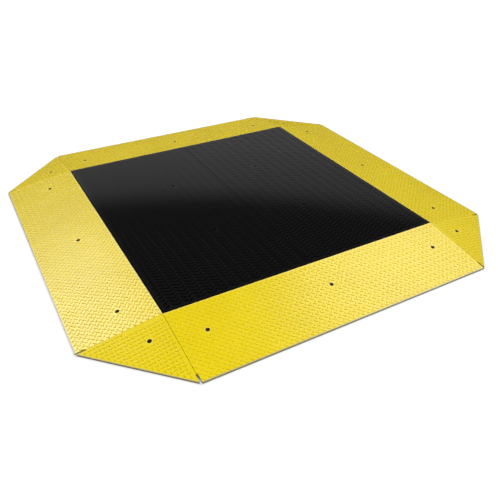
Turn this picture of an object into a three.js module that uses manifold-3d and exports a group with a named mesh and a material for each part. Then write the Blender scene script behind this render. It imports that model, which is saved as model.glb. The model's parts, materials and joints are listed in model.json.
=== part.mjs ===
// Low-profile pallet scale with a surround of drive-on ramps.
// Millimetres, +Z up. The origin is on the floor at the centre of the footprint,
// +X to the right and +Y to the back.
import * as THREE from "three";
import { mergeVertices } from "three/addons/utils/BufferGeometryUtils.js";
import Module from "manifold-3d";

const wasm = await Module();
wasm.setup();

// ---------- driving dimensions ----------

const DECK_SIDE = 1219.2; // square weighing deck
const DECK_GAP = 5; // between the deck and the ramps, all round
const DECK_HEIGHT = 50.8; // walking surface above the floor
const PLATE = 6.35; // thickness of the tread plate
const RAMP_RUN = 304.8; // from a ramp's inner edge to its toe, in plan
const TOE_HEIGHT = 6.4; // upright face at the toe
const JOINT_GAP = 1.5; // between a ramp and a corner panel
const SEAM_GAP = 2.4; // between the two deck plates
const FIT = 0.3; // clearance between pieces that touch

const ANCHOR_HOLE_R = 8;
const ANCHOR_OUT = 126; // from the ramp's inner edge
const ANCHOR_PITCH = 507; // between the three holes of a ramp
const CORNER_ANCHOR_OUT = 79.4; // from both sides of a corner panel
const TOE_SLOT_LENGTH = 38; // in from the toe, on each ramp joint
const TOE_SLOT_WIDTH = 8;
const LIFT_HOLE_R = 6.5;
const LIFT_X = 223.5; // lifting holes, from the deck's centre
const LIFT_Y = 222;

const FRAME_LOW = 6.15; // underside of the deck's rails and ribs
const RAIL_WIDTH = 20;
const RAIL_INSET = 1.6; // from the deck's edge to the rail's web
const WALL = 5; // thickness of channel walls
const RIB_WIDTH = 40;
const SEAM_WIDTH = 70;
const OUTER_RIB_X = 400;

const CELL_X = 545; // centre line of a load cell
const CELL_END_Y = 562; // its outer end
const CELL_LENGTH = 130;
const CELL_WIDTH = 25.4;
const CELL_LOW = 12.1;
const CELL_HEIGHT = 25.4;
const FOOT_Y = 545;
const CELL_BOLT_Y = [444.7, 470.1];
const GAUGE_Y = 507; // pocket for the strain gauges, in both sides of a cell
const GAUGE_R = 9;
const GAUGE_DEPTH = 4;
const STEM_R = 6;
const PAD_R = 28;
const PAD_HEIGHT = 9.6;
const BALL_Z = 7.4; // centre of the swivel ball
const CELL_BOLT_R = 5;
const BOLT_HEAD_R = 9.2; // across the corners of the hexagon
const BOLT_HEAD_HEIGHT = 6.4;
const BLOCK_WIDTH = 50; // spacer between a cell and the deck

const BOX_X = [-180, -60]; // junction box under the front left of the deck
const BOX_Y = [-440, -360];
const BOX_Z = [14, 42];
const BOX_WALL = 3;
const LID = 2.5;
const LEAD_R = 2.75;
const LEAD_START = 0.6; // gap to the cell it comes out of
const LEAD_Z = 24.8; // leads and their windows through the ribs
const LEAD_FRONT_Y = -412;
const LEAD_BACK_Y = -388;
const HOME_RUN_X = -120;
const GLAND_R = 6;

// ---------- sizes that follow from them ----------

const DECK_HALF = DECK_SIDE / 2;
const OPENING = DECK_HALF + DECK_GAP;
const PLATE_LOW = DECK_HEIGHT - PLATE;
const FRAME_HIGH = PLATE_LOW - FIT;
const RAMP_FALL = DECK_HEIGHT - TOE_HEIGHT;
const SLOPE = RAMP_FALL / RAMP_RUN;
const RAMP_LENGTH = 2 * OPENING - JOINT_GAP;
const RAIL_WEB = DECK_HALF - RAIL_INSET;
const RAIL_INNER = RAIL_WEB - RAIL_WIDTH;
const RIB_LENGTH = 2 * (RAIL_INNER - FIT);
const CELL_HIGH = CELL_LOW + CELL_HEIGHT;

// ---------- materials ----------

const paint = (color, roughness) => new THREE.MeshStandardMaterial({ color, roughness, metalness: 0.1 });
const metal = (color, roughness) => new THREE.MeshStandardMaterial({ color, roughness, metalness: 0.9 });

const deckBlack = paint(0x141414, 0.3);
const frameBlack = paint(0x1c1c1e, 0.5);
const safetyYellow = paint(0xedd21c, 0.4);
const cellSteel = metal(0xb9bcc0, 0.35);
const zincSteel = metal(0xa9adb0, 0.3);
const boxAluminium = metal(0x9a9da0, 0.45);
const cableBlack = new THREE.MeshStandardMaterial({ color: 0x161616, roughness: 0.6, metalness: 0 });
const boardGreen = new THREE.MeshStandardMaterial({ color: 0x1f5a34, roughness: 0.5, metalness: 0 });

// ---------- solids ----------

function toSolid(geometry) {
  const bare = geometry.clone();
  bare.deleteAttribute("normal");
  bare.deleteAttribute("uv");
  const merged = mergeVertices(bare, 1e-4);
  const vertProperties = new Float32Array(merged.attributes.position.array);
  const triVerts = new Uint32Array(merged.index.array);
  return new wasm.Manifold(new wasm.Mesh({ numProp: 3, vertProperties, triVerts }));
}

function toGeometry(solid) {
  const mesh = solid.getMesh();
  const geometry = new THREE.BufferGeometry();
  geometry.setAttribute("position", new THREE.BufferAttribute(new Float32Array(mesh.vertProperties), 3));
  geometry.setIndex(new THREE.BufferAttribute(new Uint32Array(mesh.triVerts), 1));
  geometry.computeVertexNormals();
  return geometry;
}

const join = (...geometries) => toGeometry(geometries.map(toSolid).reduce((a, b) => a.add(b)));
const common = (a, b) => toGeometry(toSolid(a).intersect(toSolid(b)));

function cut(geometry, ...tools) {
  return toGeometry(tools.map(toSolid).reduce((a, b) => a.subtract(b), toSolid(geometry)));
}

function outline(points) {
  return new THREE.Shape(points.map(([a, b]) => new THREE.Vector2(a, b)));
}

// A [y, z] section swept from one X to another.
function prismX(section, from, to) {
  const geometry = new THREE.ExtrudeGeometry(outline(section), { depth: to - from, bevelEnabled: false });
  geometry.applyMatrix4(new THREE.Matrix4().set(0, 0, 1, 0, 1, 0, 0, 0, 0, 1, 0, 0, 0, 0, 0, 1));
  return geometry.translate(from, 0, 0);
}

// An [x, z] section swept from one Y to another.
function prismY(section, from, to) {
  const geometry = new THREE.ExtrudeGeometry(outline(section), { depth: to - from, bevelEnabled: false });
  return geometry.rotateX(Math.PI / 2).translate(0, to, 0);
}

function block([x0, x1], [y0, y1], [z0, z1]) {
  const geometry = new THREE.BoxGeometry(x1 - x0, y1 - y0, z1 - z0);
  return geometry.translate((x0 + x1) / 2, (y0 + y1) / 2, (z0 + z1) / 2);
}

function rod(x, y, low, high, radius, sides) {
  const geometry = new THREE.CylinderGeometry(radius, radius, high - low, sides);
  return geometry.rotateX(Math.PI / 2).translate(x, y, (low + high) / 2);
}

// A [radius, height] profile turned about an upright axis.
function turned(profile, sides) {
  const points = profile.map(([radius, height]) => new THREE.Vector2(radius, height));
  return new THREE.LatheGeometry(points, sides).rotateX(Math.PI / 2);
}

// Points of an arc about (0, centre) in a turned profile; angles in degrees from straight down.
function profileArc(centre, radius, from, to, steps) {
  return Array.from({ length: steps + 1 }, (_, i) => {
    const angle = THREE.MathUtils.degToRad(from + ((to - from) * i) / steps);
    return [radius * Math.sin(angle), centre - radius * Math.cos(angle)];
  });
}

const scale = new THREE.Group();

function add(parent, name, geometry, material) {
  const mesh = new THREE.Mesh(geometry, material.clone());
  mesh.name = name;
  parent.add(mesh);
  return mesh;
}

// ---------- deck ----------

function deckPlate(side) {
  const inner = (side * SEAM_GAP) / 2;
  const outer = side * DECK_HALF;
  const [x0, x1] = side > 0 ? [inner, outer] : [outer, inner];
  const shape = outline([[x0, -DECK_HALF], [x1, -DECK_HALF], [x1, DECK_HALF], [x0, DECK_HALF]]);
  for (const y of [-LIFT_Y, LIFT_Y]) {
    shape.holes.push(new THREE.Path().absarc(side * LIFT_X, y, LIFT_HOLE_R, 0, 2 * Math.PI, true));
  }
  const options = { depth: PLATE, bevelEnabled: false, curveSegments: 12 };
  return new THREE.ExtrudeGeometry(shape, options).translate(0, 0, PLATE_LOW);
}

add(scale, "deck_plate_left", deckPlate(-1), deckBlack);
add(scale, "deck_plate_right", deckPlate(1), deckBlack);

// Channel section with its web at web and its flanges towards lip, as [across, z] points.
function channelSection(web, lip) {
  const wall = Math.sign(lip - web) * WALL;
  return [
    [web, FRAME_LOW],
    [lip, FRAME_LOW],
    [lip, FRAME_LOW + WALL],
    [web + wall, FRAME_LOW + WALL],
    [web + wall, FRAME_HIGH - WALL],
    [lip, FRAME_HIGH - WALL],
    [lip, FRAME_HIGH],
    [web, FRAME_HIGH],
  ];
}

// Upside-down channel, open to the floor.
function ribSection(centre, width) {
  const [x0, x1] = [centre - width / 2, centre + width / 2];
  return [
    [x0, FRAME_LOW],
    [x0 + WALL, FRAME_LOW],
    [x0 + WALL, FRAME_HIGH - WALL],
    [x1 - WALL, FRAME_HIGH - WALL],
    [x1 - WALL, FRAME_LOW],
    [x1, FRAME_LOW],
    [x1, FRAME_HIGH],
    [x0, FRAME_HIGH],
  ];
}

for (const [name, side] of [["left", -1], ["right", 1]]) {
  const section = channelSection(side * RAIL_WEB, side * RAIL_INNER);
  add(scale, `rail_${name}`, prismY(section, -RAIL_WEB, RAIL_WEB), frameBlack);
}

const endRailHalf = RAIL_INNER - FIT;
const glandHole = new THREE.CylinderGeometry(GLAND_R + FIT, GLAND_R + FIT, 4 * WALL, 16);
glandHole.translate(HOME_RUN_X, -RAIL_WEB, LEAD_Z);
const frontRail = prismX(channelSection(-RAIL_WEB, -RAIL_INNER), -endRailHalf, endRailHalf);
add(scale, "rail_front", cut(frontRail, glandHole), frameBlack);
const backRail = prismX(channelSection(RAIL_WEB, RAIL_INNER), -endRailHalf, endRailHalf);
add(scale, "rail_back", backRail, frameBlack);

// Opening through a rib's two sides for the load-cell leads.
function leadWindow(x, width) {
  return block([x - width, x + width], [LEAD_BACK_Y - 36, LEAD_BACK_Y + 12], [LEAD_Z - 8, LEAD_Z + 8]);
}

function rib(x, width) {
  const channel = prismY(ribSection(x, width), -RIB_LENGTH / 2, RIB_LENGTH / 2);
  return cut(channel, leadWindow(x, width));
}

add(scale, "seam_channel", rib(0, SEAM_WIDTH), frameBlack);
for (const [name, side] of [["left", -1], ["right", 1]]) {
  add(scale, `rib_${name}_outer`, rib(side * OUTER_RIB_X, RIB_WIDTH), frameBlack);
  const bore = (y) => rod(side * LIFT_X, y, FRAME_LOW, DECK_HEIGHT, LIFT_HOLE_R - 1, 16);
  const liftingRib = cut(rib(side * LIFT_X, RIB_WIDTH), bore(-LIFT_Y), bore(LIFT_Y));
  add(scale, `rib_${name}_lifting`, liftingRib, frameBlack);
}

// ---------- load cells and levelling feet ----------

const CORNERS = [
  ["front_left", -1, -1],
  ["front_right", 1, -1],
  ["back_right", 1, 1],
  ["back_left", -1, 1],
];
const cellInnerY = CELL_END_Y - CELL_LENGTH;

// Shear-beam cell: foot thread at its outer end, two bolt holes at its inner end, and a gauge
// pocket each side.
function loadCell(sideY) {
  const [y0, y1] = [cellInnerY, CELL_END_Y].map((y) => y * sideY).sort((a, b) => a - b);
  const beam = block([-CELL_WIDTH / 2, CELL_WIDTH / 2], [y0, y1], [CELL_LOW, CELL_HIGH]);
  const tools = [rod(0, sideY * FOOT_Y, 0, DECK_HEIGHT, STEM_R + FIT, 16)];
  for (const y of CELL_BOLT_Y) {
    tools.push(rod(0, sideY * y, 0, DECK_HEIGHT, CELL_BOLT_R + FIT, 12));
  }
  for (const side of [-1, 1]) {
    const pocket = new THREE.CylinderGeometry(GAUGE_R, GAUGE_R, 2 * GAUGE_DEPTH, 16);
    pocket.rotateZ(Math.PI / 2);
    pocket.translate((side * CELL_WIDTH) / 2, sideY * GAUGE_Y, (CELL_LOW + CELL_HIGH) / 2);
    tools.push(pocket);
  }
  return cut(beam, ...tools);
}

function cellBlock(sideY) {
  const [y0, y1] = [cellInnerY - 4, CELL_BOLT_Y[1] + 22].map((y) => y * sideY).sort((a, b) => a - b);
  const plate = block([-BLOCK_WIDTH / 2, BLOCK_WIDTH / 2], [y0, y1], [CELL_HIGH + FIT, FRAME_HIGH]);
  return cut(plate, ...CELL_BOLT_Y.map((y) => rod(0, sideY * y, 0, DECK_HEIGHT, CELL_BOLT_R + FIT, 12)));
}

function cellBolt(y) {
  const headTop = CELL_LOW - FIT;
  const head = rod(0, y, headTop - BOLT_HEAD_HEIGHT, headTop, BOLT_HEAD_R, 6);
  return join(head, rod(0, y, headTop - 1, FRAME_HIGH - FIT, CELL_BOLT_R, 12));
}

// Threaded stem on a swivel ball.
function footStem() {
  const neck = 4.2;
  const neckAngle = 180 - THREE.MathUtils.radToDeg(Math.asin(neck / STEM_R));
  const ball = profileArc(BALL_Z, STEM_R, 0, neckAngle, 5);
  ball[0] = [0, BALL_Z - STEM_R];
  const top = CELL_HIGH - 2;
  const profile = [
    ...ball,
    [neck, CELL_LOW - 0.8],
    [STEM_R, CELL_LOW + 1],
    [STEM_R, top - 1],
    [STEM_R - 1, top],
    [0, top],
  ];
  return turned(profile, 12);
}

// Round pad with a cup that holds the ball.
function footPad() {
  const cupR = STEM_R + FIT;
  const mouth = 180 - THREE.MathUtils.radToDeg(Math.acos((PAD_HEIGHT - BALL_Z) / cupR));
  const cup = profileArc(BALL_Z, cupR, mouth, 0, 4);
  cup[cup.length - 1] = [0, BALL_Z - cupR];
  return turned([[0, 0], [PAD_R - 1, 0], [PAD_R, 1], [PAD_R, 3.5], [13, 5], [11, PAD_HEIGHT], ...cup], 20);
}

for (const [corner, sideX, sideY] of CORNERS) {
  const station = new THREE.Group();
  station.position.x = sideX * CELL_X;
  scale.add(station);
  add(station, `load_cell_${corner}`, loadCell(sideY), cellSteel);
  add(station, `cell_block_${corner}`, cellBlock(sideY), frameBlack);
  CELL_BOLT_Y.forEach((y, i) => {
    add(station, `cell_bolt_${corner}_${i + 1}`, cellBolt(sideY * y), zincSteel);
  });
  add(station, `foot_stem_${corner}`, footStem(), zincSteel).position.y = sideY * FOOT_Y;
  add(station, `foot_pad_${corner}`, footPad(), zincSteel).position.y = sideY * FOOT_Y;
}

// ---------- junction box and leads ----------

function leadHole(x, y, alongY) {
  const hole = new THREE.CylinderGeometry(LEAD_R + FIT, LEAD_R + FIT, 4 * BOX_WALL, 12);
  return (alongY ? hole : hole.rotateZ(Math.PI / 2)).translate(x, y, LEAD_Z);
}

function inset([low, high], by) {
  return [low + by, high - by];
}

const boxRoof = BOX_Z[1] - BOX_WALL;
const boxHollow = block(inset(BOX_X, BOX_WALL), inset(BOX_Y, BOX_WALL), [BOX_Z[0] - BOX_WALL, boxRoof]);
const boxHoles = [leadHole(HOME_RUN_X, BOX_Y[0], true)];
for (const x of BOX_X) {
  boxHoles.push(leadHole(x, LEAD_FRONT_Y, false), leadHole(x, LEAD_BACK_Y, false));
}
add(scale, "junction_box", cut(block(BOX_X, BOX_Y, BOX_Z), boxHollow, ...boxHoles), boxAluminium);
const lidTop = BOX_Z[0] - FIT;
add(scale, "junction_box_lid", block(BOX_X, BOX_Y, [lidTop - LID, lidTop]), boxAluminium);
const boardTop = boxRoof - 4;
const board = block(inset(BOX_X, BOX_WALL + 14), inset(BOX_Y, BOX_WALL + 10), [boardTop - 1.6, boardTop]);
add(scale, "summing_board", board, boardGreen);

function lead(points, steps) {
  const path = points.map(([x, y]) => new THREE.Vector3(x, y, LEAD_Z));
  const route = new THREE.CatmullRomCurve3(path, false, "centripetal");
  const section = new THREE.Shape().absarc(0, 0, LEAD_R, 0, 2 * Math.PI);
  return new THREE.ExtrudeGeometry(section, { extrudePath: route, steps, curveSegments: 4 });
}

// Routes under the deck, from a cell's inner end to the near side of the junction box.
function frontRoute(side, boxX) {
  const entry = boxX + side * (FIT - 10);
  return [
    [side * CELL_X, -cellInnerY + LEAD_START],
    [side * CELL_X, -424],
    [side * (CELL_X - 12), LEAD_FRONT_Y - 1],
    [side * (CELL_X - 40), LEAD_FRONT_Y],
    [side * 300, LEAD_FRONT_Y],
    [boxX + side * 60, LEAD_FRONT_Y],
    [entry, LEAD_FRONT_Y],
  ];
}

function backRoute(side, boxX) {
  const entry = boxX + side * (FIT - 10);
  return [
    [side * CELL_X, cellInnerY - LEAD_START],
    [side * CELL_X, 400],
    [side * 520, 320],
    [side * 500, 240],
    [side * 500, 0],
    [side * 500, -240],
    [side * 492, -340],
    [side * 450, -382],
    [side * 380, LEAD_BACK_Y],
    [side * 300, LEAD_BACK_Y],
    [boxX + side * 60, LEAD_BACK_Y],
    [entry, LEAD_BACK_Y],
  ];
}

for (const [name, side, boxX] of [["left", -1, BOX_X[0]], ["right", 1, BOX_X[1]]]) {
  add(scale, `cell_lead_front_${name}`, lead(frontRoute(side, boxX), 24), cableBlack);
  add(scale, `cell_lead_back_${name}`, lead(backRoute(side, boxX), 44), cableBlack);
}

// The home-run lead ends at the gland's outer face, where the cable to the indicator begins.
const glandOut = RAIL_WEB + 2;
const homeRunY = [BOX_Y[0] + 10 - FIT, -480, -530, -glandOut];
const homeRun = homeRunY.map((y) => [HOME_RUN_X, y]);
add(scale, "home_run_lead", lead(homeRun, 10), cableBlack);

const glandProfile = [
  [LEAD_R + FIT, -2],
  [GLAND_R, -2],
  [GLAND_R, WALL + FIT],
  [9, WALL + FIT],
  [9, WALL + 4],
  [7, WALL + 9],
  [LEAD_R + FIT, WALL + 9],
  [LEAD_R + FIT, -2],
];
const gland = turned(glandProfile, 16).rotateX(-Math.PI / 2);
add(scale, "cable_gland", gland, cableBlack).position.set(HOME_RUN_X, -RAIL_WEB, LEAD_Z);

// ---------- ramps ----------

const SIDES = [["front", 0], ["right", 1], ["back", 2], ["left", 3]];
const CORNER_SIDES = [["front_right", 0], ["back_right", 1], ["back_left", 2], ["front_left", 3]];
const quarterTurn = Math.PI / 2;
const anchorX = [-ANCHOR_PITCH, 0, ANCHOR_PITCH];
const anchorY = -(OPENING + ANCHOR_OUT);

// Slot whose round inner end stops short of the joint; outward is -Y.
function toeSlot(x) {
  const r = TOE_SLOT_WIDTH / 2;
  const innerY = -(OPENING + RAMP_RUN - TOE_SLOT_LENGTH + r);
  const straight = block([x - r, x + r], [-(OPENING + RAMP_RUN + 5), innerY], [-1, DECK_HEIGHT]);
  return join(straight, rod(x, innerY, -1, DECK_HEIGHT, r, 16));
}

// The front ramp, which the other three repeat a quarter turn on.
function rampPlate() {
  const toeY = -(OPENING + RAMP_RUN);
  const section = [[-OPENING, DECK_HEIGHT], [toeY, TOE_HEIGHT], [toeY, 0], [-OPENING, RAMP_FALL]];
  const plate = prismX(section, -RAMP_LENGTH / 2, RAMP_LENGTH / 2);
  const anchors = anchorX.map((x) => rod(x, anchorY, 0, 80, ANCHOR_HOLE_R, 24));
  return cut(plate, ...anchors, toeSlot(-OPENING), toeSlot(OPENING));
}

const RAMP_RIBS = 8;
const RIB_THICK = 6.35;
const RIB_END = 262; // the ribs stop here, where the plate is close to the floor
const ANCHOR_TUBE_R = 14;
const ANCHOR_BAR = [30, 5]; // width and thickness of the flat bar round the anchors
const CABLE_WAY = 20; // the back bar stops this far from each end, so a cable can pass

function rampFrame() {
  const space = [
    [-OPENING, 0],
    [-OPENING, RAMP_FALL - FIT],
    [-OPENING - RIB_END, SLOPE * (RAMP_RUN - RIB_END) - FIT],
    [-OPENING - RIB_END, 0],
  ];
  const half = RAMP_LENGTH / 2;
  const barX = half - CABLE_WAY;
  const backBar = block([-barX, barX], [-OPENING - RIB_THICK, -OPENING], [0, DECK_HEIGHT]);
  const endRibX = half - half / RAMP_RIBS;
  const [barWidth, barThick] = ANCHOR_BAR;
  const anchorBarY = [anchorY - barWidth / 2, anchorY + barWidth / 2];
  const pieces = [backBar, block([-endRibX, endRibX], anchorBarY, [0, barThick])];
  const ribY = [-OPENING - RAMP_RUN, -OPENING - 1];
  for (let i = 0; i < RAMP_RIBS; i += 1) {
    const x = -endRibX + (i * 2 * endRibX) / (RAMP_RIBS - 1);
    pieces.push(block([x - RIB_THICK / 2, x + RIB_THICK / 2], ribY, [0, DECK_HEIGHT]));
  }
  pieces.push(...anchorX.map((x) => rod(x, anchorY, 0, DECK_HEIGHT, ANCHOR_TUBE_R, 12)));
  const bores = anchorX.map((x) => rod(x, anchorY, -1, DECK_HEIGHT, ANCHOR_HOLE_R + 1, 12));
  return cut(common(join(...pieces), prismX(space, -half, half)), ...bores);
}

// Closed solid over the front right corner triangle, between two heights that depend on how far
// out a point is: its distance beyond the opening in X plus that in Y, from margin on each side
// up to reach.
function cornerSolid(margin, reach, highAt, lowAt) {
  const far = reach - margin;
  const plan = [[margin, margin], [far, margin], [margin, far]];
  const layer = (heightAt) => plan.map(([u, v]) => [OPENING + u, -(OPENING + v), heightAt(u + v)]);
  const faces = [0, 1, 2, 3, 5, 4, 0, 3, 4, 0, 4, 1, 1, 4, 5, 1, 5, 2, 2, 5, 3, 2, 3, 0];
  const geometry = new THREE.BufferGeometry();
  const points = [...layer(lowAt), ...layer(highAt)].flat();
  geometry.setAttribute("position", new THREE.Float32BufferAttribute(points, 3));
  geometry.setIndex(faces);
  return geometry;
}

const cornerAnchor = [OPENING + CORNER_ANCHOR_OUT, -(OPENING + CORNER_ANCHOR_OUT)];

function cornerPlate() {
  const top = (out) => DECK_HEIGHT - SLOPE * out;
  const underside = (out) => RAMP_FALL - SLOPE * out;
  const plate = cornerSolid(JOINT_GAP / 2, RAMP_RUN, top, underside);
  const anchor = rod(...cornerAnchor, -1, 80, ANCHOR_HOLE_R, 24);
  return cut(plate, anchor, toeSlot(OPENING), toeSlot(-OPENING).rotateZ(quarterTurn));
}

function cornerFrame() {
  const underside = (out) => RAMP_FALL - FIT - SLOPE * out;
  const space = cornerSolid(JOINT_GAP / 2, RIB_END, underside, () => 0);
  const leg = block([OPENING, OPENING + RIB_THICK], [-OPENING - RAMP_RUN, -OPENING], [0, DECK_HEIGHT]);
  const otherLeg = block([OPENING, OPENING + RAMP_RUN], [-OPENING - RIB_THICK, -OPENING], [0, DECK_HEIGHT]);
  const diagonal = new THREE.BoxGeometry(2 * RAMP_RUN, RIB_THICK, DECK_HEIGHT).rotateZ(-quarterTurn / 2);
  diagonal.translate(OPENING, -OPENING, DECK_HEIGHT / 2);
  const bar = new THREE.BoxGeometry(RAMP_RUN, ...ANCHOR_BAR).rotateZ(quarterTurn / 2);
  bar.translate(...cornerAnchor, ANCHOR_BAR[1] / 2);
  const tube = rod(...cornerAnchor, 0, DECK_HEIGHT, ANCHOR_TUBE_R, 12);
  const bore = rod(...cornerAnchor, -1, DECK_HEIGHT, ANCHOR_HOLE_R + 1, 12);
  return cut(common(join(leg, otherLeg, diagonal, bar, tube), space), bore);
}

for (const [name, quarters] of SIDES) {
  const ramp = new THREE.Group();
  ramp.rotation.z = quarters * quarterTurn;
  scale.add(ramp);
  add(ramp, `ramp_plate_${name}`, rampPlate(), safetyYellow);
  add(ramp, `ramp_frame_${name}`, rampFrame(), safetyYellow);
}

for (const [name, quarters] of CORNER_SIDES) {
  const corner = new THREE.Group();
  corner.rotation.z = quarters * quarterTurn;
  scale.add(corner);
  add(corner, `corner_plate_${name}`, cornerPlate(), safetyYellow);
  add(corner, `corner_frame_${name}`, cornerFrame(), safetyYellow);
}

export default scale;
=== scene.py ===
"""Looks for the low-profile pallet scale: black tread-plate deck in a ring of yellow tread-plate ramps."""
import json
import math
import bpy
import numpy as np
from mathutils import Matrix, Vector


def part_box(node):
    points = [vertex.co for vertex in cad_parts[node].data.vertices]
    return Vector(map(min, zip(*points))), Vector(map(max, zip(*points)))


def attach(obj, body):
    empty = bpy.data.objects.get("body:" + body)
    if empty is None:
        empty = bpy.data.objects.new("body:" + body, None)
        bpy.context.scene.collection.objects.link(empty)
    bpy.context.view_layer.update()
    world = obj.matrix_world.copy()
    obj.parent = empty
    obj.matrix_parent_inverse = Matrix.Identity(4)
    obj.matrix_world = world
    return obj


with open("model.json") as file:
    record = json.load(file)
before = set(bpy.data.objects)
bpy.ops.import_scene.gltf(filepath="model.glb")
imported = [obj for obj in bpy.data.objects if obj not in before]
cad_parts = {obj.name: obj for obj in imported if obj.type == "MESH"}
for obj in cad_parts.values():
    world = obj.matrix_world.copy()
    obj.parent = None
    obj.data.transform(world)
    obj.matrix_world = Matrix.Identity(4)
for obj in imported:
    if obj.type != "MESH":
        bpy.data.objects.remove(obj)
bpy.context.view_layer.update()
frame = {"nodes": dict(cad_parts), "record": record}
NODES = frame["nodes"]
MM = 0.001

# ---------- the object's driving sizes, from the frame ----------

DECK_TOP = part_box("deck_plate_left")[1].z
DECK_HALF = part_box("deck_plate_right")[1].x
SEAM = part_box("deck_plate_right")[0].x
OPENING = -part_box("ramp_plate_front")[1].y
TOE = -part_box("ramp_plate_front")[0].y
RAMP_RUN = TOE - OPENING
RAMP_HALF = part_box("ramp_plate_front")[1].x
TOE_TOP = 6.4 * MM  # height of the plates' tread at the toe
SLOPE = (DECK_TOP - TOE_TOP) / RAMP_RUN
# centres of the anchor holes in the ramps and corner panels and of the lifting holes in the deck
HOLES = [Vector((sum(o["box_m"][i][k] for i in (0, 1)) / 2 for k in (0, 1)))
         for o in frame["record"]["physics"]["openings"]]


def add_object(name, data):
    obj = bpy.data.objects.new(name, data)
    bpy.context.scene.collection.objects.link(obj)
    return obj


# ---------- camera ----------

CAMERA_AT = (-1.0567, -1.9878, 1.2854)
CAMERA_HEADING = -29.6  # degrees from +Y
CAMERA_DOWN = 34.47
CAMERA_ROLL = 0.53
CAMERA_LENS = 39.62


def make_camera():
    data = bpy.data.cameras.new("camera")
    data.lens = CAMERA_LENS
    data.sensor_width = 36
    camera = add_object("camera", data)
    turn = (Matrix.Rotation(math.radians(CAMERA_HEADING), 4, "Z")
            @ Matrix.Rotation(math.radians(90 - CAMERA_DOWN), 4, "X")
            @ Matrix.Rotation(math.radians(CAMERA_ROLL), 4, "Z"))
    camera.matrix_world = Matrix.Translation(CAMERA_AT) @ turn
    bpy.context.scene.camera = camera


# ---------- shader nodes ----------

class Nodes:
    """A small helper that adds and links shader nodes. Values are sockets, numbers or (r, g, b) colours."""

    def __init__(self, owner):
        owner.use_nodes = True
        self.tree = owner.node_tree

    def node(self, kind, **settings):
        node = self.tree.nodes.new(kind)
        for key, value in settings.items():
            setattr(node, key, value)
        return node

    def feed(self, socket, value):
        if isinstance(value, tuple):
            socket.default_value = (*value, 1)
        elif isinstance(value, (int, float)):
            socket.default_value = value
        else:
            self.tree.links.new(value, socket)

    def math(self, operation, *values):
        node = self.node("ShaderNodeMath", operation=operation)
        for socket, value in zip(node.inputs, values):
            self.feed(socket, value)
        return node.outputs["Value"]

    def map(self, value, low, high, to_low, to_high):
        node = self.node("ShaderNodeMapRange", clamp=True)
        for name, number in zip(("Value", "From Min", "From Max", "To Min", "To Max"),
                                (value, low, high, to_low, to_high)):
            self.feed(node.inputs[name], number)
        return node.outputs["Result"]

    def attribute(self, name):
        return self.node("ShaderNodeAttribute", attribute_name=name).outputs["Fac"]

    def seen_directly(self):
        return self.node("ShaderNodeLightPath").outputs["Is Camera Ray"]


class Paint(Nodes):
    """Nodes of a new material, with what the scale's materials share."""

    def __init__(self, name):
        self.material = bpy.data.materials.new(name)
        super().__init__(self.material)
        self.shader = self.tree.nodes["Principled BSDF"]

    def set(self, name, value):
        self.feed(self.shader.inputs[name], value)

    def coordinates(self):
        return self.node("ShaderNodeTexCoord").outputs["Object"]

    def noise(self, scale, detail):
        node = self.node("ShaderNodeTexNoise")
        self.feed(node.inputs["Scale"], scale)
        self.feed(node.inputs["Detail"], detail)
        self.feed(node.inputs["Vector"], self.coordinates())
        return node.outputs["Fac"]

    def mix(self, factor, a, b):
        node = self.node("ShaderNodeMix", data_type="RGBA")
        self.feed(node.inputs["Factor"], factor)
        self.feed(node.inputs["A"], a)
        self.feed(node.inputs["B"], b)
        return node.outputs["Result"]

    def patches(self, scale, detail, a, b):
        """Two colours that fade into each other in soft patches."""
        return self.mix(self.map(self.noise(scale, detail), 0.35, 0.65, 0, 1), a, b)

    def uneven(self, scale, low, high):
        """A number that wanders between low and high."""
        return self.map(self.noise(scale, 3), 0.3, 0.7, low, high)

    def grain(self, scale, strength, distance):
        """A fine bump all over."""
        node = self.node("ShaderNodeBump")
        self.feed(node.inputs["Strength"], strength)
        self.feed(node.inputs["Distance"], distance)
        self.feed(node.inputs["Height"], self.noise(scale, 2))
        self.set("Normal", node.outputs["Normal"])


# ---------- studio ----------

FLOOR_REACH = 30  # how far the floor goes on beyond the scale
FLOOR_DROP = 0.4 * MM
# how far out from the scale's outline, how bright the floor looks there: a soft contact shadow, dark inside
FLOOR_GLOW = ((-80 * MM, 0.06), (-25 * MM, 0.1), (0, 0.72), (9 * MM, 1), (FLOOR_REACH, 1))
# sine of the elevation, radiance
HORIZON = ((0.0, 0.26), (0.26, 0.28), (0.385, 0.45), (0.42, 0.39), (0.46, 0.33), (0.490, 0.04), (0.7, 0.02))
HORIZON_TILT = 0.03  # the studio's bright band sits higher towards +X
HORIZON_LEVEL = 0.2  # the X component of the direction in which it is as HORIZON says
FRONT = 0.5  # how bright the surroundings are on the -Y side, next to the +Y side
RIGHT = 0.75  # and on the +X side, next to the middle
# component of the direction, where the change begins and ends, how bright it is before and after
FADES = (("Y", -0.3, 0.1, FRONT, 1), ("X", 0.35, 0.7, 1, RIGHT))


def footprint(margin):
    """Corners of the scale's octagonal outline moved out by margin, anticlockwise from the front right."""
    w = TOE + margin
    n = OPENING + margin * math.tan(math.pi / 8)
    return [(n, -w), (w, -n), (w, n), (n, w), (-n, w), (-w, n), (-w, -n), (-n, -w)]


def floor_material():
    """A dark matt floor that glows only where it is seen directly, so the scale's paint mirrors it dark."""
    p = Paint("floor_white")
    p.set("Base Color", (0.05, 0.05, 0.05))
    p.set("Roughness", 0.9)
    p.set("Emission Color", (1.0, 1.0, 1.0))
    p.set("Emission Strength", p.math("MULTIPLY", p.seen_directly(), p.attribute("glow")))
    return p.material


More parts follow.
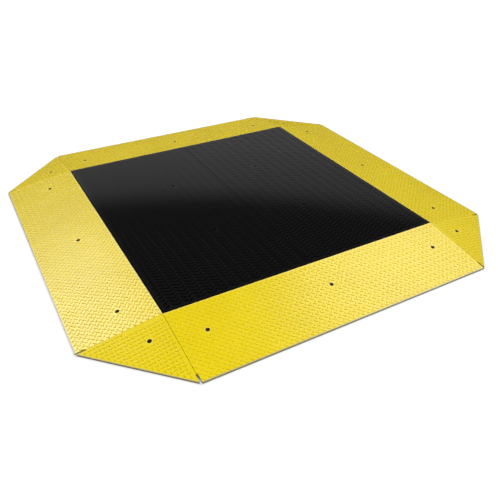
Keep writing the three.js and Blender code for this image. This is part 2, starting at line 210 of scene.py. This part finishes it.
def make_floor():
    points = [(x, y, -FLOOR_DROP) for margin, _ in FLOOR_GLOW for x, y in footprint(margin)]
    sides = len(points) // len(FLOOR_GLOW)
    faces = [tuple(range(sides))]
    for start in range(0, len(points) - sides, sides):
        for i in range(sides):
            j = (i + 1) % sides
            faces.append((start + i, start + i + sides, start + j + sides, start + j))
    mesh = bpy.data.meshes.new("floor")
    mesh.from_pydata(points, [], faces)
    levels = np.repeat([level for _, level in FLOOR_GLOW], sides)
    mesh.attributes.new("glow", "FLOAT", "POINT").data.foreach_set("value", levels)
    mesh.materials.append(floor_material())
    floor = add_object("floor", mesh)


def softbox(name, azimuth, elevation, distance, size, radiance):
    """A rectangular light that faces the deck. Its azimuth is in degrees from +Y towards +X."""
    data = bpy.data.lights.new(name, "AREA")
    data.shape = "RECTANGLE"
    data.size, data.size_y = size
    data.energy = radiance * math.pi * size[0] * size[1]
    light = add_object(name, data)
    a, e = math.radians(azimuth), math.radians(elevation)
    towards = Vector((math.sin(a) * math.cos(e), math.cos(a) * math.cos(e), math.sin(e)))
    light.location = towards * distance
    light.rotation_euler = towards.to_track_quat("Z", "Y").to_euler()
    light.visible_camera = False


def make_world():
    """Pure white where it is seen directly. The scale mirrors a grey studio with a bright band low down."""
    world = bpy.data.worlds.new("studio")
    bpy.context.scene.world = world
    n = Nodes(world)
    split = n.node("ShaderNodeSeparateXYZ")
    n.feed(split.inputs["Vector"], n.node("ShaderNodeTexCoord").outputs["Generated"])
    level = n.math("ADD", split.outputs["Z"], HORIZON_TILT * HORIZON_LEVEL)
    ramp = n.node("ShaderNodeValToRGB")
    elements = ramp.color_ramp.elements
    while len(elements) < len(HORIZON):
        elements.new(0.5)
    for element, (height, radiance) in zip(elements, HORIZON):
        element.position = height
        element.color = (radiance, radiance, radiance, 1)
    n.feed(ramp.inputs["Fac"], n.math("MULTIPLY_ADD", split.outputs["X"], -HORIZON_TILT, level))
    strengths = [n.map(split.outputs[axis], *fade) for axis, *fade in FADES]
    studio = n.tree.nodes["Background"]
    n.feed(studio.inputs["Color"], ramp.outputs["Color"])
    n.feed(studio.inputs["Strength"], n.math("MULTIPLY", *strengths))
    white = n.node("ShaderNodeBackground")
    n.feed(white.inputs["Color"], (1.0, 1.0, 1.0))
    choose = n.node("ShaderNodeMixShader")
    for socket, value in zip(choose.inputs, (n.seen_directly(), studio.outputs[0], white.outputs[0])):
        n.feed(socket, value)
    n.feed(n.tree.nodes["World Output"].inputs["Surface"], choose.outputs["Shader"])


def make_lights():
    softbox("key", azimuth=195, elevation=60, distance=8, size=(3.35, 3.35), radiance=13.4)
    softbox("back_box", azimuth=-17.5, elevation=43, distance=12, size=(5.4, 4.0), radiance=6.6)
    softbox("right_box", azimuth=69, elevation=46.5, distance=12, size=(6.0, 3.8), radiance=4.6)


# ---------- materials ----------

HOLE_RADIUS = 8 * MM
TUBE_BORE = 9.1 * MM  # a little more than the radius inside an anchor tube
# painted shade: the walls of the bores are dark as far as this from their edge
BORE_SHADE_REACH = 0.3 * MM  # how soon the dark of a bore ends
GRAIN = 0.4 * MM  # depth of the paints' fine bumps before their strength


def zones(p):
    """How far out from the deck opening a point lies, how far from the nearest hole, and its height.

    The first two are taken in plan. On a corner panel the ways out along X and along Y are added up, which
    comes to as much at the slanting toe as at a ramp's toe.
    """
    split = p.node("ShaderNodeSeparateXYZ")
    p.feed(split.inputs["Vector"], p.coordinates())
    across, along = (p.math("ABSOLUTE", split.outputs[axis]) for axis in ("X", "Y"))
    beyond = [p.math("MAXIMUM", p.math("SUBTRACT", value, OPENING), 0.0) for value in (across, along)]
    # the holes in the ramps and corner panels mirror each other in X, Y and the diagonals
    plan = p.node("ShaderNodeCombineXYZ")
    p.feed(plan.inputs["X"], p.math("MAXIMUM", across, along))
    p.feed(plan.inputs["Y"], p.math("MINIMUM", across, along))
    gaps = []
    for near, far in sorted({tuple(sorted(abs(round(part, 4)) for part in hole)) for hole in HOLES}):
        distance = p.node("ShaderNodeVectorMath", operation="DISTANCE")
        p.feed(distance.inputs[0], plan.outputs["Vector"])
        distance.inputs[1].default_value = (far, near, 0)
        gaps.append(distance.outputs["Value"])
    nearest = gaps[0]
    for gap in gaps[1:]:
        nearest = p.math("MINIMUM", nearest, gap)
    return p.math("ADD", *beyond), nearest, split.outputs["Z"]


def yellow_paint():
    """Safety yellow with painted shade at the lugs' feet, on the holes' walls and on the toe's face, paler
    rubbed paint with a painted highlight along the opening edge and round the holes, and a dull grey band
    along the toe's top.
    """
    p = Paint("safety_yellow")
    out, from_hole, height = zones(p)
    color = p.patches(3.5, 2, (0.79, 0.61, 0.005), (0.83, 0.65, 0.007))
    # painted shade: the yellow darkens towards the lugs' feet, as much as the "foot" attribute says
    lug_shade_yellow = (0.40, 0.30, 0.002)
    color = p.mix(p.attribute("foot"), color, lug_shade_yellow)
    # rubbed paint and painted highlight: paler along the deck opening's edge and round the holes
    rubbed_and_highlight = (0.80, 0.68, 0.16)
    rub_and_highlight = p.math("MAXIMUM", p.map(out, 2 * MM, 6 * MM, 1, 0), p.map(from_hole, 9 * MM, 14 * MM, 1, 0))
    color = p.mix(p.math("MULTIPLY", rub_and_highlight, 0.5), color, rubbed_and_highlight)
    # painted shade: the walls of the holes are dark brown
    bore_shade = (0.14, 0.09, 0.008)
    color = p.mix(p.map(from_hole, HOLE_RADIUS, HOLE_RADIUS + BORE_SHADE_REACH, 1, 0), color, bore_shade)
    # a dull grey band along the top of the toe, with a ragged inner edge
    toe_rim_grey = (0.46, 0.41, 0.21)
    ragged = p.math("ADD", out, p.uneven(220, -1 * MM, 1 * MM))
    color = p.mix(p.map(ragged, RAMP_RUN - 5 * MM, RAMP_RUN - 3 * MM, 0, 1), color, toe_rim_grey)
    # painted shade: the plates' edge faces below the toe's top are a dull olive grey
    toe_face_shade = (0.50, 0.45, 0.24)
    color = p.mix(p.map(height, TOE_TOP - 0.6 * MM, TOE_TOP - 0.2 * MM, 1, 0), color, toe_face_shade)
    p.set("Base Color", color)
    matt = p.map(from_hole, HOLE_RADIUS, HOLE_RADIUS + BORE_SHADE_REACH, 0.6, 0)
    p.set("Roughness", p.math("ADD", p.uneven(60, 0.22, 0.29), matt))
    p.grain(420, 0.06, GRAIN)
    return p.material


def frame_yellow():
    """The same yellow on the hidden frames, with painted shade inside the anchor tubes."""
    p = Paint("frame_yellow")
    from_hole = zones(p)[1]
    color = p.patches(12, 3, (0.70, 0.53, 0.012), (0.78, 0.60, 0.014))
    # painted shade: the inside of each anchor tube is dark
    bore_shade = (0.10, 0.06, 0.006)
    p.set("Base Color", p.mix(p.map(from_hole, TUBE_BORE, TUBE_BORE + BORE_SHADE_REACH, 1, 0), color, bore_shade))
    p.set("Roughness", p.uneven(60, 0.4, 0.5))
    p.grain(300, 0.15, GRAIN)
    return p.material


def black_paint():
    p = Paint("deck_black")
    color = p.patches(4, 2, (0.0060, 0.0060, 0.0060), (0.0070, 0.0070, 0.0070))
    # painted shade: the deck's lugs are darker than the plate, as the "foot" attribute says
    lug_shade_black = (0.0005, 0.0005, 0.0005)
    p.set("Base Color", p.mix(p.attribute("foot"), color, lug_shade_black))
    p.set("Roughness", p.uneven(60, 0.045, 0.07))
    p.grain(420, 0.05, GRAIN)
    return p.material


def plain(name, color, rough, metallic=1.0):
    """Bare metal, or with metallic 0 a flat paint, rubber or plastic."""
    p = Paint(name)
    p.set("Metallic", metallic)
    darker = tuple(c * 0.85 for c in color)
    p.set("Base Color", p.patches(25, 3, darker, color))
    p.set("Roughness", p.uneven(90, rough - 0.05, rough + 0.08))
    p.grain(300, 0.1, 0.3 * MM)
    return p.material


# ---------- tread plate ----------

LUG_SHARP = math.radians(40)  # the rim between a lug's side and its top
LUG_STEPS = 12
LUG_SLIMMING = 0.3  # how much slimmer towards its ends a lug is than an ellipse
LUG_END_INSET = 1.6  # how much further a ring draws in at a lug's ends than at its sides


def lug_template(length, width, rings):
    """Closed lens-shaped lug along X. Its rings are (how far inside the outline, height), from the foot up.

    The third result is how much painted shade each point gets. A lug with several rings fades from its
    dark foot to its top, and a low one with two is dark all over.
    """
    points = []
    for inset, z in rings:
        half_length = 0.5 * length - LUG_END_INSET * inset
        half_width = 0.5 * width - inset
        for i in range(LUG_STEPS):
            angle = 2 * math.pi * i / LUG_STEPS
            along = math.cos(angle)
            across = math.sin(angle) * (1 - LUG_SLIMMING * along * along)
            points.append((half_length * along, half_width * across, z))
    faces = [tuple(reversed(range(LUG_STEPS)))]
    last = (len(rings) - 1) * LUG_STEPS
    for start in range(0, last, LUG_STEPS):
        for i in range(LUG_STEPS):
            j = (i + 1) % LUG_STEPS
            faces.append((start + i, start + j, start + LUG_STEPS + j, start + LUG_STEPS + i))
    faces.append(tuple(range(last, last + LUG_STEPS)))
    shade = np.linspace(1, 0, len(rings)) if len(rings) > 2 else np.ones(2)
    return np.array(points), faces, np.repeat(shade, LUG_STEPS)


def tread(name, body, material, spots, template, lug_shade_strength, place):
    """One mesh of lugs.

    spots are (x, y, angle) in the plate's own plane, the number after the template is how much painted
    shade darkens the lugs' feet, and place maps points of the plane into the frame.
    """
    points, faces, foot = template
    all_points, all_faces = [], []
    for n, (x, y, angle) in enumerate(spots):
        c, s = math.cos(angle), math.sin(angle)
        turned = points @ np.array([[c, s, 0], [-s, c, 0], [0, 0, 1]])
        all_points.append(place(turned + (x, y, 0)))
        offset = n * len(points)
        all_faces += [tuple(i + offset for i in face) for face in faces]
    mesh = bpy.data.meshes.new(name)
    mesh.from_pydata(np.concatenate(all_points).tolist(), [], all_faces)
    mesh.polygons.foreach_set("use_smooth", [True] * len(mesh.polygons))
    mesh.set_sharp_from_angle(angle=LUG_SHARP)
    # painted shade of each point, kept in the "foot" attribute
    levels = np.tile(lug_shade_strength * foot, len(spots))
    mesh.attributes.new("foot", "FLOAT", "POINT").data.foreach_set("value", levels)
    mesh.materials.append(material)
    mesh.update()
    obj = add_object(name, mesh)
    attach(obj, body)


def herringbone(x_range, y_range, pitch_x, pitch_y, tilt, shift, keep):
    """Two lugs to a cell, leaning opposite ways.

    The second is half a cell along and shift of a cell across. keep says whether a spot gets its lug.
    """
    spots = []
    for i in range(math.ceil((x_range[1] - x_range[0]) / pitch_x) + 1):
        for j in range(math.ceil((y_range[1] - y_range[0]) / pitch_y) + 1):
            x, y = x_range[0] + i * pitch_x, y_range[0] + j * pitch_y
            for spot in ((x, y, tilt), (x + pitch_x / 2, y + shift * pitch_y, -tilt)):
                if keep(spot[0], spot[1]):
                    spots.append(spot)
    return spots


LUG_FOOT = (-0.16 * MM, -0.3 * MM)  # a ramp lug's foot, sunk into the plate
RAMP_LUG = (16.5 * MM, 7 * MM)
RAMP_LUG_RINGS = (LUG_FOOT, (0.5 * MM, 1.25 * MM), (1.7 * MM, 1.43 * MM), (2.7 * MM, 1.5 * MM))
RAMP_PITCH = (21.4 * MM, 23.1 * MM)
RAMP_TILT = math.radians(45)
RAMP_SHIFT = 0.5
# painted shade: how dark the lugs' feet get, set ramp by ramp, then for the corner panels and the deck
RAMP_LUG_SHADE = {"front": 0.2, "right": 0.7, "back": 0.6, "left": 1.0}  # how dark the lugs' feet get
CORNER_LUG_SHADE = 0.5
DECK_LUG_SHADE = 1
DECK_LUG = (30 * MM, 7.5 * MM)
DECK_LUG_RINGS = ((-0.05 * MM, -0.3 * MM), (0.05 * MM, 0.9 * MM))
DECK_MARGIN = 12 * MM  # from a deck plate's edges to the centres of the nearest columns of lugs
DECK_PITCH = (45.7 * MM, 20.0 * MM)
DECK_TILT = math.radians(32)
DECK_SHIFT = 0.12
EDGE_CLEAR = 7.5 * MM  # from a plate's edge to the centre of the nearest lug
HOLE_CLEAR = 13 * MM  # and from a hole's centre
SIDES = ("front", "right", "back", "left")
CORNERS = ("front_right", "back_right", "back_left", "front_left")


def clear_of_holes(x, y, turn):
    at = Matrix.Rotation(turn, 2) @ Vector((x, y))
    return all((at - hole).length > HOLE_CLEAR for hole in HOLES)


def rest_on_slope(turn, way_out):
    """Puts points of the front ramp's or front right corner's plan on that plate, or on its copy by a turn.

    Their z is the height off the plate, and way_out gives how far out from the deck opening they lie.
    """
    rotate = np.array(Matrix.Rotation(turn, 3, "Z"))

    def place(points):
        moved = points.copy()
        moved[:, 2] += DECK_TOP - SLOPE * way_out(points)
        return moved @ rotate.T

    return place


def to_corner(points):
    """From directions along and up a slanting toe to the plan of the front right corner panel."""
    half = math.sqrt(0.5)
    turned = points @ np.array([[half, half, 0], [-half, half, 0], [0, 0, 1]])
    return turned + (OPENING, -OPENING, 0)


def on_ramp(x, y, turn):
    return (abs(x) < RAMP_HALF - EDGE_CLEAR and -TOE + EDGE_CLEAR < y < -OPENING - EDGE_CLEAR
            and clear_of_holes(x, y, turn))


def on_corner(x, y, turn):
    x, y = to_corner(np.array((x, y, 0)))[:2]
    return (x > OPENING + EDGE_CLEAR and y < -OPENING - EDGE_CLEAR
            and x - y < OPENING + TOE - math.sqrt(2) * EDGE_CLEAR and clear_of_holes(x, y, turn))


def plan_pitch(slope):
    """The ramps' pitch as seen in plan, on a plate that rises by slope."""
    return RAMP_PITCH[0], RAMP_PITCH[1] / math.hypot(1, slope)


def make_ramp_treads(yellow):
    lug = lug_template(*RAMP_LUG, RAMP_LUG_RINGS)
    for k, name in enumerate(SIDES):
        turn = k * math.pi / 2
        spots = herringbone((-RAMP_HALF, RAMP_HALF), (-TOE, -OPENING), *plan_pitch(SLOPE),
                            RAMP_TILT, RAMP_SHIFT, lambda x, y: on_ramp(x, y, turn))
        place = rest_on_slope(turn, lambda p: -p[:, 1] - OPENING)
        tread(f"tread_{name}", f"ramp_{name}", yellow, spots, lug, RAMP_LUG_SHADE[name], place)
    for k, name in enumerate(CORNERS):
        turn = k * math.pi / 2
        spots = herringbone((-RAMP_RUN, RAMP_RUN), (-RAMP_RUN, 0), *plan_pitch(math.sqrt(2) * SLOPE),
                            RAMP_TILT, RAMP_SHIFT, lambda x, y: on_corner(x, y, turn))
        place = rest_on_slope(turn, lambda p: p[:, 0] - p[:, 1] - 2 * OPENING)
        tread(f"tread_corner_{name}", f"corner_{name}", yellow, spots, lug, CORNER_LUG_SHADE,
              lambda p: place(to_corner(p)))


def make_deck_treads(black):
    lug = lug_template(*DECK_LUG, DECK_LUG_RINGS)
    half_pitch = DECK_PITCH[0] / 2
    reach = math.floor((DECK_HALF - SEAM - 2 * DECK_MARGIN) / half_pitch) * half_pitch
    for name, start in (("left", -SEAM - DECK_MARGIN - reach), ("right", SEAM + DECK_MARGIN)):
        spots = herringbone(
            (start, start + reach), (-DECK_HALF, DECK_HALF), *DECK_PITCH, DECK_TILT, DECK_SHIFT,
            lambda x, y: start - MM < x < start + reach + MM and abs(y) < DECK_HALF - EDGE_CLEAR
            and clear_of_holes(x, y, 0))
        tread(f"tread_deck_{name}", "deck", black, spots, lug, DECK_LUG_SHADE,
              lambda p: p + (0, 0, DECK_TOP))


# ---------- dark strips in the gap round the deck: painted shade ---

STRIP_THICK = 1.5 * MM
STRIP_TOP = 0.6 * MM  # below the deck's surface
STRIP_HEIGHT = 38 * MM
STRIP_SHORT = 4 * MM  # from each end of the ramp
STRIP_ROUND = (0.5, 0.9, 1.25, 1.57)  # the angles of the points on its rounded top, in radians


def make_strips(gap_dark):
    """A dark strip with a rounded top on the inner face of each ramp, put there as painted shade in the
    gap.
    """
    section = [(0, -STRIP_HEIGHT), (0, 0)]
    section += [(STRIP_THICK * math.sin(a), -STRIP_THICK * (1 - math.cos(a))) for a in STRIP_ROUND]
    section.append((STRIP_THICK, -STRIP_HEIGHT))
    half = RAMP_HALF - STRIP_SHORT
    points = [(x, -OPENING + inward, DECK_TOP - STRIP_TOP + up)
              for x in (-half, half) for inward, up in section]
    n = len(section)
    faces = [tuple(range(n)), tuple(reversed(range(n, 2 * n)))]
    faces += [(i, i + n, (i + 1) % n + n, (i + 1) % n) for i in range(n)]
    for k, name in enumerate(SIDES):
        mesh = bpy.data.meshes.new(f"gap_strip_{name}")
        turn = Matrix.Rotation(k * math.pi / 2, 3, "Z")
        mesh.from_pydata([turn @ Vector(point) for point in points], [], faces)
        mesh.materials.append(gap_dark)
        mesh.update()
        strip = add_object(f"gap_strip_{name}", mesh)
        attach(strip, f"ramp_{name}")


# ---------- CAD nodes: materials and rounded edges ----------

BEVEL_ANGLE = math.radians(30)  # edges sharper than this are rounded


def dress(starts, material, bevel=0):
    """Gives a material and rounded edges to every CAD node whose name starts with one of starts."""
    for name in (n for n in NODES if n.startswith(starts)):
        obj = NODES[name]
        obj.data.materials.clear()
        obj.data.materials.append(material)
        if bevel:
            modifier = obj.modifiers.new("edge", "BEVEL")
            modifier.width = bevel
            modifier.segments = 2
            modifier.limit_method = "ANGLE"
            modifier.angle_limit = BEVEL_ANGLE
            modifier.harden_normals = True


def dress_frame(yellow, black):
    dress(("deck_plate",), black, 0.6 * MM)
    dress(("ramp_plate", "corner_plate"), yellow, 0.8 * MM)
    dress(("ramp_frame", "corner_frame"), frame_yellow())
    dress(("rail", "rib", "seam", "cell_block"), plain("frame_black", (0.014, 0.014, 0.015), 0.5, 0.0))
    dress(("load_cell",), plain("cell_steel", (0.62, 0.63, 0.64), 0.3), 0.3 * MM)
    dress(("cell_bolt", "foot_"), plain("zinc_steel", (0.6, 0.61, 0.6), 0.28))
    dress(("junction_box",), plain("box_aluminium", (0.55, 0.56, 0.57), 0.4), 0.5 * MM)
    dress(("cell_lead", "home_run"), plain("cable_black", (0.02, 0.02, 0.02), 0.55, 0.0))
    dress(("cable_gland",), plain("gland_black", (0.03, 0.03, 0.03), 0.45, 0.0))
    dress(("summing_board",), plain("board_green", (0.03, 0.16, 0.06), 0.4, 0.0))


make_camera()
make_world()
make_floor()
make_lights()
yellow = yellow_paint()
black = black_paint()
dress_frame(yellow, black)
make_ramp_treads(yellow)
make_deck_treads(black)
# painted shade: the dark strips in the gap round the deck
make_strips(plain("gap_shade_strip", (0.02, 0.019, 0.018), 0.6, 0.0))
bpy.context.scene.view_settings.view_transform = "Standard"
